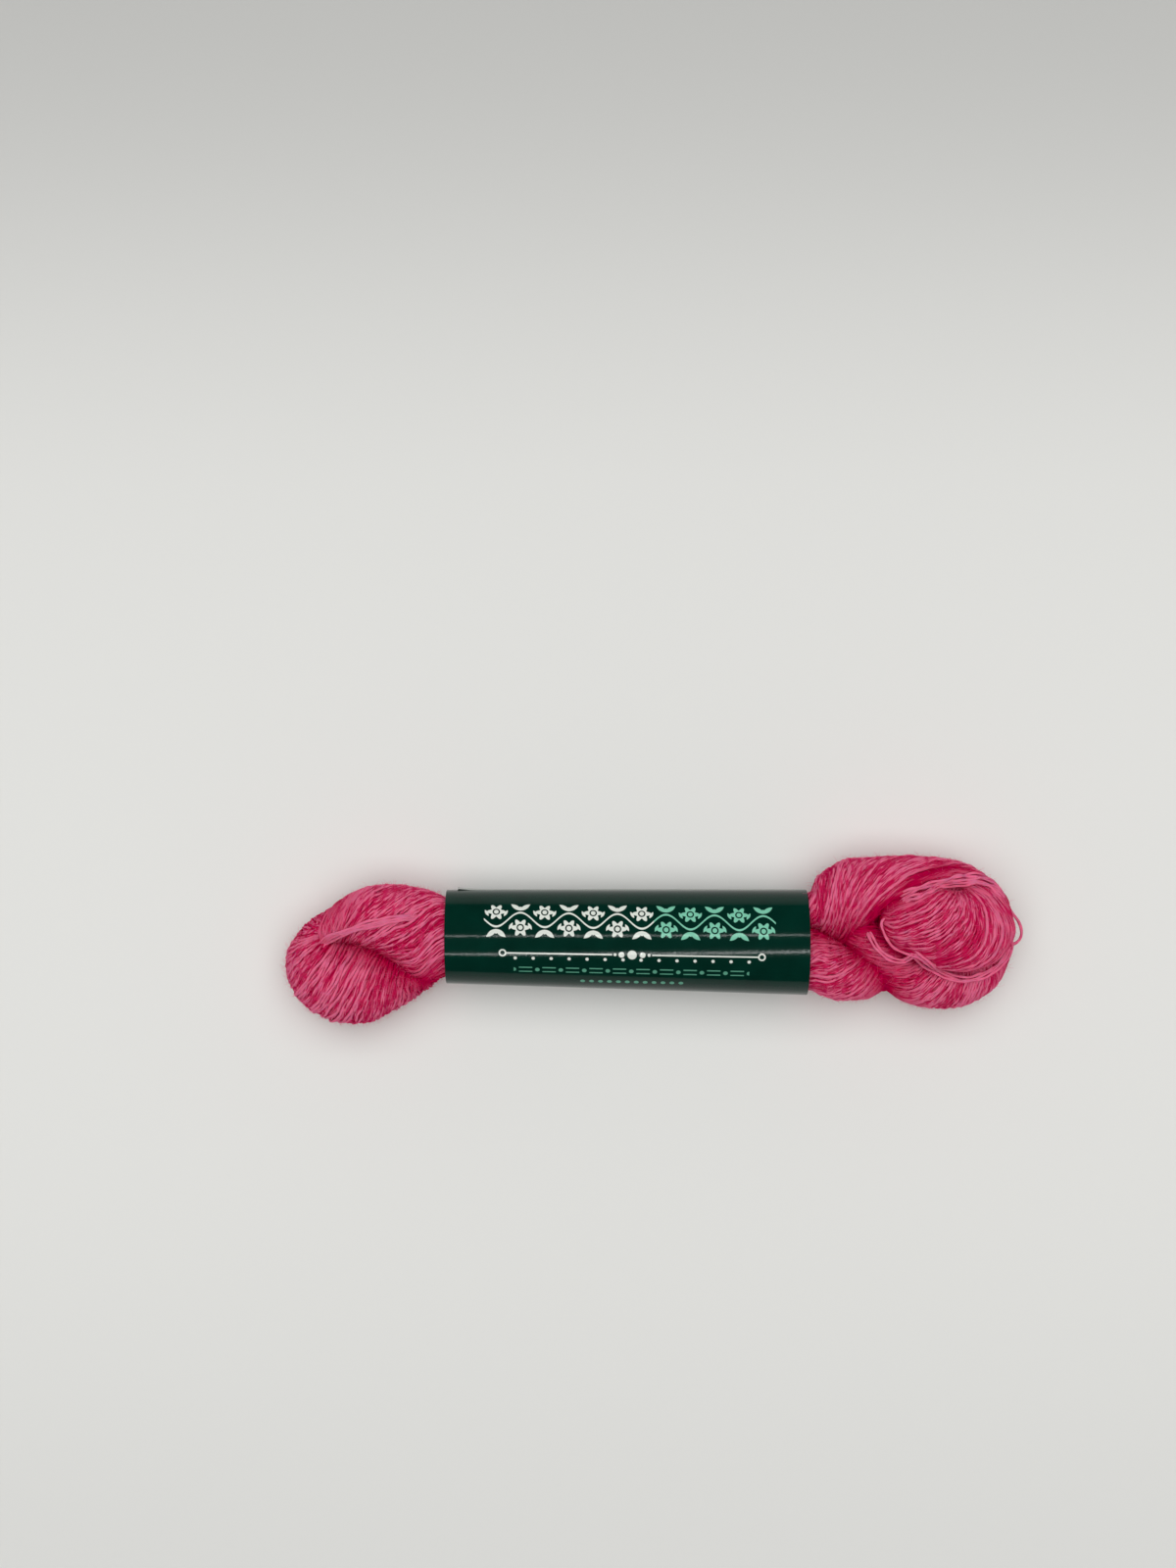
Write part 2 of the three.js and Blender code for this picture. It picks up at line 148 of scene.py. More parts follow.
# Each lobe is a bundle of thread. A row is one section: leftX, leftY, rightX, rightY, z, high, turn. The left and
# right edge are as seen on the way along the bundle, z is the middle's height, and high is half the height. Threads
# run along the lobe, and turn is how far they have wound round it by then, in degrees. In a looped lobe they run
# round it, and the last column is how far their left side is ahead of their right side, in mm.
# A lobe's tone is painted shade and light: its threads are painted darker below 0 and paler above.
lobes = {
    "upperFold": {"tone": -0.22, "cap": 5.0, "looped": False, "rows": [
        (-26.0, -4.6, -26.0, 5.4, 8.8, 4.6, 30), (-33.6, -5.5, -33.6, 7.2, 8.9, 6.0, 0),
        (-38.0, -6.6, -37.6, 8.8, 9.1, 6.5, -32), (-42.2, -3.5, -41.8, 9.3, 9.3, 6.9, -70),
        (-46.2, -1.4, -45.8, 9.2, 9.1, 7.0, -114), (-49.6, -0.7, -49.8, 7.8, 8.5, 6.7, -174),
        (-51.8, -0.6, -53.0, 5.4, 7.7, 6.2, -246), (-53.4, -1.6, -56.4, 2.6, 6.8, 5.4, -350),
        (-54.4, -3.8, -57.8, -1.0, 6.2, 4.8, -480)]},
    "lowerFold": {"tone": -0.12, "cap": 5.0, "looped": True, "rows": [
        (-28.0, -4.0, -28.0, 1.4, 6.6, 3.8, 0), (-33.8, -5.6, -33.8, 0.2, 6.2, 4.4, 0),
        (-36.4, -7.4, -37.0, -2.6, 6.0, 4.9, 1), (-38.8, -9.2, -39.4, -2.9, 6.2, 5.6, 2.5),
        (-42.2, -11.3, -42.0, -1.4, 6.4, 6.2, 4.5), (-47.0, -13.6, -44.3, 0.2, 6.7, 6.9, 5.5),
        (-52.0, -13.3, -47.6, 0.9, 6.9, 7.2, 6), (-56.6, -11.3, -50.6, 1.3, 6.9, 7.2, 4),
        (-59.7, -7.3, -52.0, 1.4, 6.8, 7.0, 0), (-60.4, -2.6, -52.4, 1.5, 6.7, 6.7, -4),
        (-58.4, 1.5, -52.3, 1.6, 6.5, 6.2, -2), (-55.2, 4.4, -51.8, 1.7, 6.2, 5.8, 0),
        (-50.4, 6.2, -49.8, 1.6, 6.0, 5.2, 0), (-45.4, 6.4, -45.4, 1.8, 6.2, 4.8, 0)]},
    "underPly": {"tone": 0.05, "cap": 5.0, "looped": False, "rows": [
        (17.0, 3.6, 17.0, -6.2, 8.8, 4.6, 60), (25.0, 3.4, 25.0, -7.6, 8.7, 6.1, 0),
        (29.2, 1.6, 28.6, -9.1, 8.2, 6.6, -24), (33.2, -0.6, 32.2, -9.8, 7.2, 6.6, -66),
        (37.0, -0.2, 36.4, -9.2, 6.0, 6.0, -130), (41.0, 2.6, 41.4, -6.6, 5.3, 5.5, -210),
        (46.0, 5.6, 47.0, -4.4, 5.2, 5.4, -270), (52.0, 5.0, 53.0, -4.0, 5.2, 5.2, -330)]},
    "ringTop": {"tone": -0.38, "cap": 5.0, "looped": False, "rows": [
        (17.0, 6.2, 17.0, -1.4, 8.8, 4.6, 300), (25.2, 7.6, 25.2, 1.8, 8.9, 5.8, 195),
        (27.4, 10.9, 28.0, 0.8, 9.0, 6.6, 112), (31.2, 13.4, 31.2, -0.2, 8.9, 7.0, 8),
        (36.4, 13.9, 35.0, 1.8, 8.5, 7.1, -52), (42.2, 14.1, 39.4, 3.6, 7.6, 6.9, -90),
        (48.0, 13.6, 45.2, 4.0, 6.8, 6.7, -122), (53.0, 12.2, 50.4, 3.4, 6.4, 6.5, -156),
        (57.3, 8.8, 53.2, 2.0, 6.1, 6.3, -196), (59.3, 4.4, 54.0, 0.4, 6.0, 6.1, -238),
        (59.0, -1.6, 53.6, -1.4, 5.8, 5.9, -280)]},
    "ringLow": {"tone": -0.08, "cap": 4.5, "looped": False, "rows": [
        (29.4, 6.4, 28.6, 1.8, 7.4, 4.0, 30), (33.4, 5.0, 31.6, -0.8, 8.2, 5.2, 0),
        (37.4, 3.4, 34.4, -4.0, 8.0, 5.9, -32), (41.0, 1.2, 38.0, -7.6, 7.3, 6.2, -68),
        (44.4, -0.4, 42.6, -10.4, 6.5, 6.4, -112), (48.2, -1.0, 47.4, -11.2, 6.2, 6.5, -190),
        (51.6, -0.8, 52.2, -10.5, 6.1, 6.4, -330), (54.0, 0.2, 56.4, -7.9, 6.0, 6.3, -470),
        (54.8, 1.8, 58.8, -3.4, 5.9, 6.1, -560), (54.6, 3.6, 59.4, 1.6, 5.8, 6.0, -640),
        (53.6, 5.4, 57.2, 6.8, 5.7, 5.6, -700)]},
    "knob": {"tone": -0.22, "cap": 1.6, "looped": False, "rows": [
        (36.8, 6.0, 36.6, 4.4, 10.8, 2.8, 0), (38.0, 6.8, 37.2, 1.5, 12.2, 3.7, -10),
        (40.3, 7.7, 39.5, -0.9, 13.1, 4.5, -24), (43.4, 8.6, 43.4, -3.0, 13.7, 5.1, -44),
        (46.2, 8.9, 47.8, -4.3, 14.0, 5.5, -70), (48.0, 8.7, 52.4, -4.1, 13.9, 5.4, -98),
        (49.2, 8.6, 56.2, -2.3, 13.5, 5.1, -126), (49.8, 8.7, 58.6, 1.2, 13.0, 4.6, -150),
        (49.9, 9.0, 58.3, 5.2, 12.6, 4.0, -172), (49.6, 9.3, 56.4, 8.6, 12.3, 3.2, -192),
        (48.9, 9.6, 53.0, 11.2, 12.3, 2.6, -210), (47.4, 9.7, 48.8, 12.1, 12.3, 2.2, -228),
        (45.2, 9.4, 45.0, 11.6, 12.4, 2.0, -248), (42.6, 8.7, 41.8, 10.5, 12.6, 1.8, -268),
        (39.8, 7.6, 39.0, 9.0, 12.6, 1.5, -288)]},
}

# Lengths are in mm. A share is of the lines or of the tone, and a wave is the longest of a noise along the thread.
wool = {
    "threadRadius": 0.245, "thinnest": 0.6, "spacing": 0.44, "flatness": 0.95, "thickening": 0.14, "thickWave": 4.5,
    "drift": 0.32, "driftWave": 17.0, "ownDrift": 0.12, "ownDriftWave": 15.0, "kink": 0.05, "kinkWave": 4.0,
    "wander": 0.15, "wanderShares": (0.3, 0.5, 0.6), "wanderWaves": (8.0, 5.0),
    "ownWander": 0.05, "ownWanderWave": 6.0, "uneven": 0.05, "sink": 0.7, "fade": 0.12, "bundle": (1, 3),
    # Each layer's last number is the least painted shade on it: the under layer is painted darker, as shade between
    # the top threads.
    "layers": [{"depth": 0.0, "step": 0.5, "sides": 6, "hollow": 0.0},
               {"depth": 0.25, "step": 0.75, "sides": 5, "hollow": 0.6}],
    # A thread's tone: a base, a painted highlight that makes a higher thread paler, and a random tone of its own
    # along it.
    "tone": 0.48, "heightHighlight": 0.42, "ownTone": 0.1, "toneWave": 3.0,
    "leastWeight": 0.15, "hairyWeight": 0.9, "hairyGap": 0.2, "tableGap": 0.02,
    "leastSize": 0.5, "loopSection": 0.15, "loopDepth": 0.3, "coverDepth": 1.7,
    # Painted shade in the creases: how far from other lobes it reaches, the power it falls off by, the knob counted
    # farther, and less of it at the fold's pale neck.
    "shadeReach": 5.0, "shadeFall": 1.8, "knobFarther": 3.0, "paleNeck": (-57.0, -49.0), "neckShade": 0.1,
}

coreLook = {"depth": 0.46, "section": 0.8, "around": 40, "lowest": 0.25}


finePerRow = 60  # steps in which the length of a lobe's path is summed up between two of its rows


# The sections of a lobe at equal steps of the path's own length, or of the thread's length. Where the end is nearer
# than cap, the section shrinks by the root of 1 - (1 - distance / cap) squared. Lean is the cosine of the angle
# between the thread and the path.
def sections(lobe, step, byThread):
    rows = np.array(lobe["rows"], float)
    fine = np.linspace(0, len(rows) - 1, finePerRow * len(rows))
    at = through(rows, fine)
    middle = np.column_stack([(at[:, 0:2] + at[:, 2:4]) / 2, at[:, 4]])
    path = np.linalg.norm(np.diff(middle, axis=0), axis=1)
    size = np.linalg.norm(at[:, 0:2] - at[:, 2:4], axis=1) / 4 + at[:, 5] / 2
    winding = (size[1:] + size[:-1]) / 2 * np.abs(np.diff(np.radians(at[:, 6])))
    run = np.concatenate([[0], np.cumsum(np.hypot(path, winding) if byThread else path)])
    way = np.concatenate([[0], np.cumsum(path)])
    places = np.interp(np.linspace(0, run[-1], int(run[-1] / step) + 2), run, fine)
    at = through(rows, places)
    half = (at[:, 0:2] - at[:, 2:4]) / 2
    toEnd = np.interp(places, fine, np.minimum(way, way[-1] - way))
    rounding = np.sqrt(np.clip(1 - (1 - np.minimum(toEnd / lobe["cap"], 1)) ** 2, 0, 1))
    lean = np.interp(places, (fine[1:] + fine[:-1]) / 2, path / np.maximum(np.hypot(path, winding), tiny))
    wide = np.linalg.norm(half, axis=1)
    side = np.column_stack([half / wide[:, None], np.zeros(len(half))])
    return {
        "middle": np.column_stack([(at[:, 0:2] + at[:, 2:4]) / 2, at[:, 4]]), "side": side,
        "wide": wide * rounding, "high": at[:, 5] * rounding, "last": at[:, 6], "lean": lean,
    }


# Values read between the sections, at fractional numbers of a section.
def between(values, places):
    first = np.clip(places.astype(int), 0, len(values) - 2)
    t = places - first
    t = t if values.ndim == 1 else t[..., None]
    return values[first] * (1 - t) + values[first + 1] * t


narrowest = 0.04  # the least half width that is left of a section under its surface
bluntest = 0.3  # the least half width that counts where a section shrinks to a point


# A point on the section's ellipse: middle + side * (wide - depth) * cos(angle) + up * (high - depth) * sin(angle).
def onLobe(cut, angle, depth):
    wide = np.maximum(cut["wide"] - depth, narrowest)
    high = np.maximum(cut["high"] - depth, narrowest)
    points = cut["middle"] + (np.cos(angle) * wide)[..., None] * cut["side"]
    points[..., 2] += np.sin(angle) * high
    return points


# The ellipse's normal there: side * cos(angle) / wide + up * sin(angle) / high, made a unit long.
def outOfLobe(cut, angle):
    outward = (np.cos(angle) / np.maximum(cut["wide"], bluntest))[..., None] * cut["side"]
    outward[..., 2] += np.sin(angle) / np.maximum(cut["high"], bluntest)
    return unit(outward)


sines = [(1.0, 0.55), (0.53, 0.3), (0.29, 0.2)]  # each one's wave and height
stretches = (0.8, 1.25)


# Smooth noise for each line: three sines of random phase, their waves as long as asked, worth about -1 to 1.
def waver(along, longest):
    total = np.zeros(along.shape)
    for wave, share in sines:
        phase = random.uniform(0, fullTurn, (len(along), 1))
        stretch = random.uniform(*stretches, (len(along), 1))
        total += share * np.sin(fullTurn * along / (longest * wave) * stretch + phase)
    return total


# Every line has a rank between 0 and 1, spread evenly: the bits of its number, read in reverse.
def ranks(count):
    index = np.arange(count)
    spread = sum(((index >> bit) & 1) / 2 ** (bit + 1) for bit in range(9))
    return np.argsort(np.argsort(spread)) / count


# 3 t squared - 2 t cubed, with t the value between 0 and 1.
def smoothStep(value):
    value = np.clip(value, 0, 1)
    return value**2 * (3 - 2 * value)


# Where there is room for only a share of the lines, those of higher rank fade out: the weight is a smooth step of
# (share * (1 + fade) - rank) / fade.
def weights(share, look):
    return smoothStep((share * (1 + look["fade"]) - ranks(len(share))[:, None]) / look["fade"])


# Neighbouring lines go in bundles of a few, and the lines of a bundle share its noise.
def bundled(along, look):
    sizes = random.integers(look["bundle"][0], look["bundle"][1] + 1, len(along))
    number = np.repeat(np.arange(len(along)), sizes)[:len(along)]
    return lambda longest: waver(along[:number[-1] + 1], longest)[number]


# How far the lines lie to the side of their places: the bundle's drift, and each line's own drift and kinks.
def sidewaysOf(along, bundle, look):
    return (look["drift"] * bundle(look["driftWave"]) + look["ownDrift"] * waver(along, look["ownDriftWave"])
            + look["kink"] * waver(along, look["kinkWave"]))


# The depth of the lines' middles, and how much higher than the mean they lie, from about -1 to 1. A line that fades
# out sinks.
def depthOf(depth, weight, along, bundle, look):
    shares, waves = look["wanderShares"], look["wanderWaves"]
    high = (shares[0] * bundle(waves[0]) + shares[1] * waver(along, waves[1])
            + shares[2] * random.normal(0, 1, (len(along), 1)))
    ownDepth = look["ownWander"] * waver(along, look["ownWanderWave"])
    uneven = look["uneven"] * random.normal(0, 1, (len(along), 1))
    middle = depth + look["threadRadius"] * look["flatness"] + look["sink"] * (1 - weight)
    return middle - look["wander"] * high + ownDepth + uneven, high


# Lines of thread wound along a lobe. A line's angle is its place round the section plus the lobe's turn. The number
# that the section has room for is its girth * cos(lean) / spacing, and the lines share the room by their weights.
def woundLines(lobe, layer, look):
    cut = sections(lobe, layer["step"], True)
    wide, high = cut["wide"], cut["high"]
    girth = np.pi * (3 * (wide + high) - np.sqrt((3 * wide + high) * (wide + 3 * high)))
    room = girth * cut["lean"] / look["spacing"]
    count = int(np.ceil(room.max()))
    weight = weights(np.broadcast_to(room / count, (count, len(room))), look)
    place = (np.cumsum(weight, axis=0) - weight / 2) / np.maximum(weight.sum(axis=0), tiny)
    along = np.broadcast_to(np.arange(len(wide)) * layer["step"], weight.shape)
    size = np.maximum((wide + high) / 2, look["leastSize"])
    bundle = bundled(along, look)
    sideways = sidewaysOf(along, bundle, look)
    angle = fullTurn * place + np.radians(cut["last"]) + random.uniform(0, fullTurn) + sideways / size
    depth, high = depthOf(layer["depth"], weight, along, bundle, look)
    return onLobe(cut, angle, depth), outOfLobe(cut, angle), weight, along, high


# Lines of thread looped round a lobe. The lobe's surface is stretched to each side by the way that its sections fan
# out, so the loops stand a spacing apart where it is stretched the most, and fade out where it is narrow.
def loopedLines(lobe, layer, look):
    cut = sections(lobe, look["loopSection"], False)
    girth = np.pi * (cut["wide"] + cut["high"]).max()
    turns = np.linspace(-np.pi / 2, 1.5 * np.pi, int(girth / layer["step"]))
    grid = onLobe({key: value[:, None] for key, value in cut.items()}, turns[None, :], look["loopDepth"])
    stretch = np.linalg.norm(np.gradient(grid, axis=0), axis=-1)
    widest = stretch.max(axis=1)
    run = np.cumsum(widest)
    count = int(run[-1] / look["spacing"])
    starts = np.interp((np.arange(count) + 0.5) / count * run[-1], run, np.arange(len(run)))
    along = np.broadcast_to(turns * girth / fullTurn, (count, len(turns)))
    ahead = between(cut["last"], starts)[:, None] * (0.5 - turns / np.pi)
    bundle = bundled(along, look)
    sideways = ahead + sidewaysOf(along, bundle, look)
    places = np.clip(starts[:, None] + sideways / between(widest, starts)[:, None], 0, len(run) - 1.001)
    here = {key: between(value, places) for key, value in cut.items()}
    first = places.astype(int)
    share = (stretch / widest[:, None])[first, np.arange(len(turns))[None, :]]
    weight = weights(share, look)
    angle = np.broadcast_to(turns, weight.shape)
    depth, high = depthOf(layer["depth"], weight, along, bundle, look)
    return onLobe(here, angle, depth), outOfLobe(here, angle), weight, along, high


# How lobes are measured from outside, by sections that reach a little to either side.
measure = {"section": 0.35, "reach": 0.25, "narrowest": 0.05, "atOnce": 20000, "seen": 0.6, "lowest": 1.0}


# How far points are outside a lobe, in mm, and less than nothing inside it: the least over its sections of the
# distance in units of the ellipse, less 1, times the section's size.
def outside(points, cut):
    flat = points.reshape(-1, 3)
    normal = np.column_stack([-cut["side"][:, 1], cut["side"][:, 0], cut["side"][:, 2]])
    size = np.maximum((cut["wide"] + cut["high"]) / 2, bluntest)
    least = []
    for start in range(0, len(flat), measure["atOnce"]):
        offset = flat[start:start + measure["atOnce"], None, :] - cut["middle"][None, :, :]
        across = (offset * cut["side"]).sum(-1) / np.maximum(cut["wide"], measure["narrowest"])
        forward = np.maximum(np.abs((offset * normal).sum(-1)) - measure["reach"], 0) / size
        upward = offset[..., 2] / np.maximum(cut["high"], measure["narrowest"])
        least.append(((np.sqrt(across**2 + forward**2 + upward**2) - 1) * size).min(axis=1))
    return np.concatenate(least).reshape(points.shape[:-1])


cuts = {name: sections(lobe, measure["section"], False) for name, lobe in lobes.items()}


# The distance to the nearest of the other lobes, and the same with the knob's counted as several times as much,
# since the knob only lies on top. The second sets how much painted shade the creases get.
def outsideOthers(points, own, look):
    gaps = {name: outside(points, cut) for name, cut in cuts.items() if name != own}
    nearest = np.min(list(gaps.values()), axis=0)
    if "knob" in gaps:
        gaps["knob"] = np.maximum(gaps["knob"], 0) * look["knobFarther"]
    return nearest, np.min(list(gaps.values()), axis=0)


# The band's two ends are given as x, y, z, half width and half height. Angles are in degrees from the side at +Y,
# over the top. The free edge runs from the first angle of lapTo at the left end to the second, past a whole turn.
band = {
    "left": (-33.8, 0.8, 8.3, 7.7, 7.7), "right": (25.2, -0.1, 8.9, 8.65, 8.3), "hides": 5.0,
    "paper": 0.22, "lapFrom": -62.0, "lapTo": (5.0, -9.0), "lapLift": 0.12, "lapInset": 1.8,
    "riseAfter": 300.0, "riseOver": 60.0,
    "cornerLift": 0.3, "cornerShare": 0.08, "cornerFrom": 335.0, "cornerOver": 25.0,
    "lengthSteps": 70, "firstSteps": (0.0015, 0.01), "roundSteps": 250, "lastStep": 0.001,
}


# Threads are left out where they are well inside the band.
def clearOfBand(x):
    return (x < band["left"][0] + band["hides"]) | (x > band["right"][0] - band["hides"])


# Surfaces put together: all their points, and their faces with the numbers moved up to match.
def stacked(parts):
    base = np.cumsum([0] + [len(part[0]) for part in parts])
    return (np.vstack([part[0] for part in parts]),
            [faces + start for part, start in zip(parts, base) for faces in part[1]])


def joinedTubes(parts):
    return (*stacked(parts), np.vstack([part[2] for part in parts]),
            {key: np.concatenate([part[3][key] for part in parts]) for key in parts[0][3]})


# Threads lie on the table at the lowest. Their thickness wavers, and is less where a thread fades out.
def threadTubes(lines, outward, weight, along, high, hollow, shown, sides, look):
    lines[..., 2] = np.maximum(lines[..., 2], look["threadRadius"] + look["tableGap"])
    thick = 1 + look["thickening"] * waver(along, look["thickWave"])
    radius = look["threadRadius"] * (look["thinnest"] + (1 - look["thinnest"]) * weight) * thick
    # Painted light in the tone: a thread that lies higher is paler, besides its own random tone.
    tone = look["tone"] + look["heightHighlight"] * high + look["ownTone"] * waver(along, look["toneWave"])
    return tubes(lines, outward, radius, shown, sides, look["flatness"], along,
                 {"tone": np.clip(tone, 0, 1), "hollow": hollow})


hairRoots = []  # places on the outer threads, each with the direction outward


# The threads of some lobes as one piece. They get painted shade, a deeper red near the creases where other lobes meet
# them: (1 - gap / reach) to a power, with the gap to the other lobes, and less at the pale neck of the fold. Threads
# deep inside another lobe are left out.
def addThreads(name, lobeNames, layer, look):
    parts = []
    for lobeName in lobeNames:
        lobe = lobes[lobeName]
        lines, outward, weight, along, high = (loopedLines if lobe["looped"] else woundLines)(lobe, layer, look)
        gap, shadeGap = outsideOthers(lines, lobeName, look)
        shown = (weight > look["leastWeight"]) & clearOfBand(lines[..., 0]) & (gap > -look["coverDepth"])
        # Painted shade, deeper near the creases between lobes.
        near = np.clip(1 - shadeGap / look["shadeReach"], 0, 1) ** look["shadeFall"]
        first, last = look["paleNeck"]
        neck = smoothStep((lines[..., 0] - first) / (last - first))
        # A layer's own painted shade is the least that its threads get.
        hollow = np.maximum(near * (look["neckShade"] + (1 - look["neckShade"]) * neck), layer["hollow"])
        # The lobe's tone adds its painted shade to the thread's height.
        parts.append(threadTubes(lines, outward, weight, along, high + lobe["tone"], hollow, shown,
                                 layer["sides"], look))
        if layer["depth"] == 0:
            hairy = shown & (weight > look["hairyWeight"]) & (gap > look["hairyGap"])
            hairRoots.append(np.hstack([lines[hairy], outward[hairy]]))
    piece = makePiece(name, *joinedTubes(parts))
    print(f"{name}: {sum(len(face.vertices) - 2 for face in piece.data.polygons)} triangles")
    return piece


bunches = {"foldThreads": ["upperFold", "lowerFold"], "ringThreads": ["ringTop", "ringLow", "underPly"],
           "knobThreads": ["knob"]}


# The core under the threads: each lobe's own surface, a little deeper, by section and angle, closed at both ends.
def coreSurface(lobe, look):
    cut, around = sections(lobe, look["section"], False), look["around"]
    angles = np.arange(around) / around * fullTurn
    grid = np.stack([onLobe(cut, np.full(len(cut["wide"]), angle), look["depth"]) for angle in angles], axis=1)
    grid[..., 2] = np.maximum(grid[..., 2], look["lowest"])
    rings = np.arange(len(grid))[:, None] * around
    k = np.arange(around)
    return grid.reshape(-1, 3), [ringQuads(rings[:-1], rings[1:], around), k[::-1][None, :], rings[-1:] + k]


core = makePiece("woolCore", *stacked([coreSurface(lobe, coreLook) for lobe in lobes.values()]))
threadPieces = [addThreads(name + suffix, lobeNames, layer, wool) for name, lobeNames in bunches.items()
                for suffix, layer in zip(("", "Under"), wool["layers"])]
print("threads: done")


# Strands that have come loose

# The height of the lobes' upper side at places on the map: the highest ellipse of a section that passes there.
def topHeight(places):
    flat = places.reshape(-1, 2)
    best = np.full(len(flat), measure["lowest"])
    for cut in cuts.values():
        side = cut["side"][:, :2]
        offset = flat[:, None, :] - cut["middle"][None, :, :2]
        across = (offset * side).sum(-1) / np.maximum(cut["wide"], measure["narrowest"])
        forward = np.abs(offset[..., 0] * side[:, 1] - offset[..., 1] * side[:, 0])
        rise = cut["middle"][:, 2] + cut["high"] * np.sqrt(np.clip(1 - across**2, 0, 1))
        passes = (np.abs(across) < 1) & (forward < measure["seen"])
        best = np.maximum(best, np.where(passes, rise, 0).max(axis=1))
    return best.reshape(places.shape[:-1])


# Each strand is a few threads side by side along rows of x, y, lift: lift is the height over what they lie on, or
# the height itself for a strand that stands clear. spread is half its width, and tone is painted light: it counts as
# height, so a strand on top is painted paler.
looseStrands = {
    "overFold": {"tone": 0.8, "threads": 4, "spread": 0.42, "clear": False, "rows": [
        (-55.6, -1.5, -1.9), (-54.0, -0.2, -1.0), (-52.8, 0.6, -0.2), (-51.5, 1.3, 0.1), (-49.1, 2.2, 0.25),
        (-45.7, 3.3, 0.25), (-41.9, 4.1, 0.1), (-40.0, 4.3, -0.2), (-38.6, 4.3, -0.7), (-37.4, 4.2, -1.6)]},
    "overSlit": {"tone": 0.5, "threads": 6, "spread": 0.70, "clear": False, "rows": [
        (38.6, 6.4, -2.6), (39.9, 7.0, -1.3), (41.4, 7.8, -0.2), (43.5, 8.7, 0.15), (46.2, 9.6, 0.25),
        (48.9, 10.3, 0.3), (51.6, 10.5, 0.25), (53.7, 10.2, 0.1), (55.3, 9.3, -0.2), (56.3, 8.2, -0.8),
        (56.9, 7.0, -1.8)]},
    "knobEdge": {"tone": 0.35, "threads": 1, "spread": 0.0, "clear": False, "rows": [
        (37.9, 4.2, -1.8), (37.2, 4.1, -0.7), (36.8, 3.4, -0.1), (37.0, 2.4, 0.0), (37.7, 0.9, 0.1),
        (38.9, -0.6, 0.1), (41.0, -1.6, 0.1), (42.6, -2.1, 0.1), (44.6, -3.0, -0.3), (46.5, -3.8, -1.4)]},
    "sideLoop": {"tone": 0.4, "threads": 2, "spread": 0.25, "clear": False, "rows": [
        (34.7, 2.9, -2.0), (34.8, 2.2, -1.1), (35.0, 1.6, -0.3), (35.3, 0.9, 0.15), (36.2, -0.7, 0.35),
        (38.3, -2.3, 0.35), (40.4, -2.8, 0.35), (41.7, -1.9, 0.0), (42.3, -1.2, -1.2)]},
    "underKnob": {"tone": 0.45, "threads": 3, "spread": 0.40, "clear": False, "rows": [
        (41.2, -0.6, -1.8), (42.5, -2.0, -0.2), (44.2, -3.3, 0.3), (46.4, -4.6, 0.4), (49.2, -5.7, 0.4),
        (51.4, -5.9, 0.4), (53.6, -5.3, 0.35), (55.8, -4.0, 0.2), (57.7, -2.2, -0.2), (59.0, 0.0, -1.2)]},
    "endLoop": {"tone": 0.3, "threads": 1, "spread": 0.0, "clear": True, "rows": [
        (58.2, 5.9, 9.6), (59.1, 4.6, 9.4), (60.0, 3.4, 9.2), (60.5, 2.1, 9.0), (60.5, 0.8, 8.8),
        (59.9, -0.1, 8.7), (59.0, -0.4, 8.8), (58.0, 0.1, 9.0)]},
}


strandLook = {"finePerRow": 40, "step": 0.4, "sides": 8, "ownShift": 0.5, "shiftWave": 11.0, "rise": 0.12,
              "riseWave": 8.0, "bedding": 0.8, "smoothings": 3}


# The lines of a strand: its own curve, moved sideways by spread * (place in the strand + ownShift * noise), at the
# smoothed height of what lies under it plus the lift.
def strandLines(strand, look, radius):
    rows = np.array(strand["rows"])
    at = through(rows, np.linspace(0, len(rows) - 1, look["finePerRow"] * len(rows)))
    run = np.concatenate([[0], np.cumsum(np.linalg.norm(np.diff(at[:, :2], axis=0), axis=1))])
    steps = np.linspace(0, run[-1], int(run[-1] / look["step"]) + 2)
    at = np.column_stack([np.interp(steps, run, at[:, k]) for k in range(3)])
    heading = unit(np.gradient(at[:, :2], axis=0))
    sideways = np.column_stack([-heading[:, 1], heading[:, 0]])
    along = np.broadcast_to(steps, (strand["threads"], len(steps)))
    base = np.linspace(-1, 1, strand["threads"])[:, None] if strand["threads"] > 1 else np.zeros((1, 1))
    shift = strand["spread"] * (base + look["ownShift"] * waver(along, look["shiftWave"]))
    flat = at[None, :, :2] + shift[..., None] * sideways[None]
    rise = at[:, 2] + look["rise"] * waver(along, look["riseWave"]) + radius * look["bedding"]
    if not strand["clear"]:
        ground = topHeight(flat)
        for _ in range(look["smoothings"]):
            padded = np.pad(ground, ((0, 0), (1, 1)), mode="edge")
            ground = (padded[:, :-2] + padded[:, 1:-1] + padded[:, 2:]) / 3
        rise = rise + ground
    return np.concatenate([flat, rise[..., None]], axis=-1), along


def addLooseThreads(look):
    parts = []
    for strand in looseStrands.values():
        lines, along = strandLines(strand, strandLook, look["threadRadius"])
        outward = np.zeros(lines.shape) + (0, 0, 1)
        full = np.ones(along.shape)
        # The strand's tone goes in as height, for painted light.
        parts.append(threadTubes(lines, outward, full, along, full * strand["tone"], full * 0, full > 0,
                                 strandLook["sides"], look))
    return makePiece("looseThreads", *joinedTubes(parts))


fuzz = {"hairs": 7000, "radius": 0.015, "taper": 0.6, "length": (0.5, 1.8), "root": 0.2, "lift": 0.22,
        "lifts": (0.4, 1.3), "arch": 1.6, "bend": 0.5, "flyaway": 0.5, "standing": (0.3, 1.0), "shorter": 0.35,
        "steeper": 0.5, "rising": 0.7, "lowest": 0.05, "steps": 5, "sides": 3}


